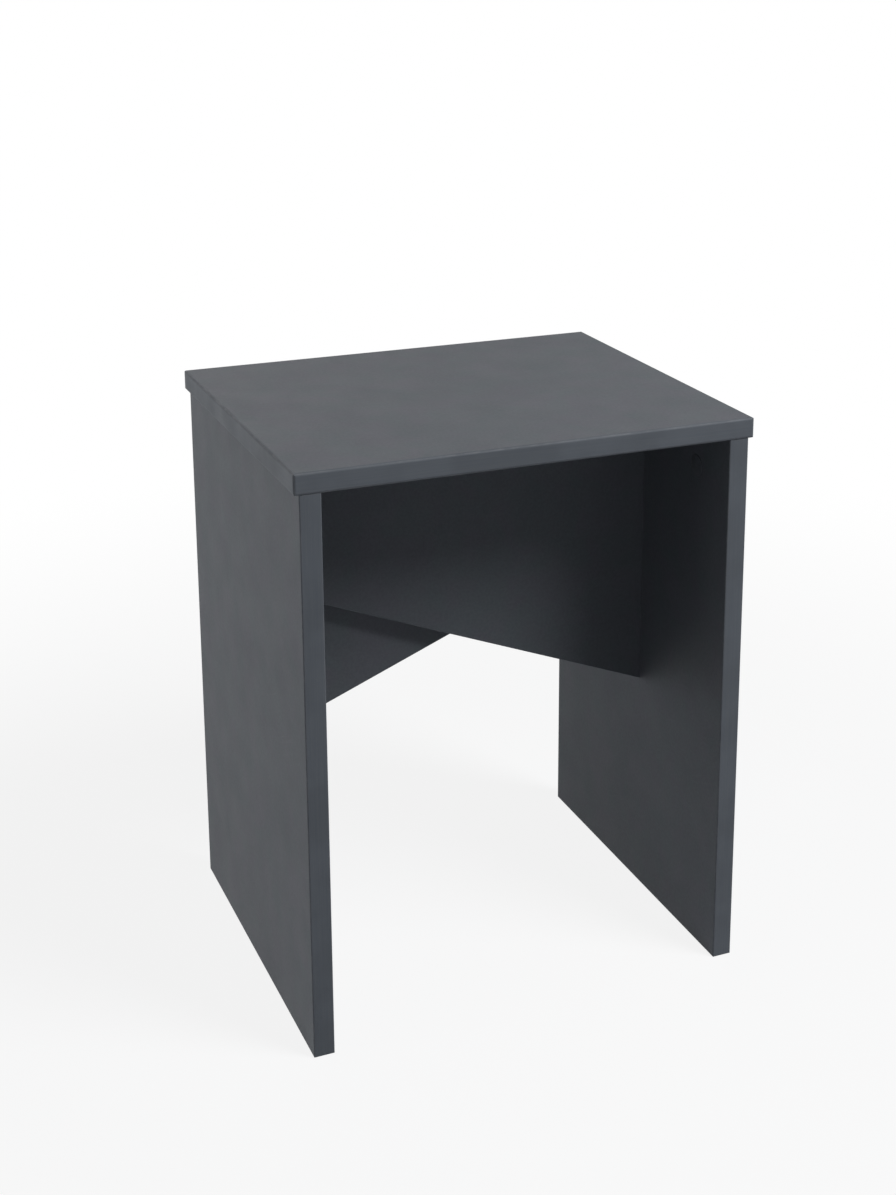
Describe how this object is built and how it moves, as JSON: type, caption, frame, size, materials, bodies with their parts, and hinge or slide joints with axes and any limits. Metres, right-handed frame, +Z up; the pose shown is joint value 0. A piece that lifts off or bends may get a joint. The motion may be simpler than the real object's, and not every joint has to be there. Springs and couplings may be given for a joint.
{
  "type": "laminate stool",
  "caption": "Rectangular stool of graphite laminated board: seat on two side panels, with slanted aprons back to back under the middle of the seat.",
  "frame": {"origin": "on the floor, at the middle of the stool under the seat", "axes": "+X to the right seen from the front, +Y to the rear, +Z up"},
  "size_m": [0.36, 0.304, 0.453],
  "materials": {
    "laminated_board": "matt graphite melamine laminate on chipboard",
    "edge_band": "satin graphite edge band",
    "cover_cap": "satin graphite moulded plastic",
    "cam_lock": "die-cast zinc alloy, dull",
    "fitting_steel": "zinc-plated steel",
    "dowel_wood": "raw fluted beech"
  },
  "bodies": {
    "root": {"seat_board": "laminated_board", "seat_band_front": "edge_band", "seat_band_rear": "edge_band", "seat_band_left": "edge_band", "seat_band_right": "edge_band", "left_side_board": "laminated_board", "left_band_front": "edge_band", "left_band_rear": "edge_band", "left_band_bottom": "edge_band", "right_side_board": "laminated_board", "right_band_front": "edge_band", "right_band_rear": "edge_band", "right_band_bottom": "edge_band", "front_apron_board": "laminated_board", "front_apron_band": "edge_band", "rear_apron_board": "laminated_board", "rear_apron_band": "edge_band", "seat_cam_locks": "cam_lock", "seat_cam_bolts": "fitting_steel", "seat_cam_caps": "cover_cap", "apron_cam_locks": "cam_lock", "apron_cam_bolts": "fitting_steel", "apron_cam_caps": "cover_cap", "seat_dowels": "dowel_wood", "apron_end_dowels": "dowel_wood", "apron_top_dowels": "dowel_wood", "apron_screws": "fitting_steel"}
  },
  "joints": []
}
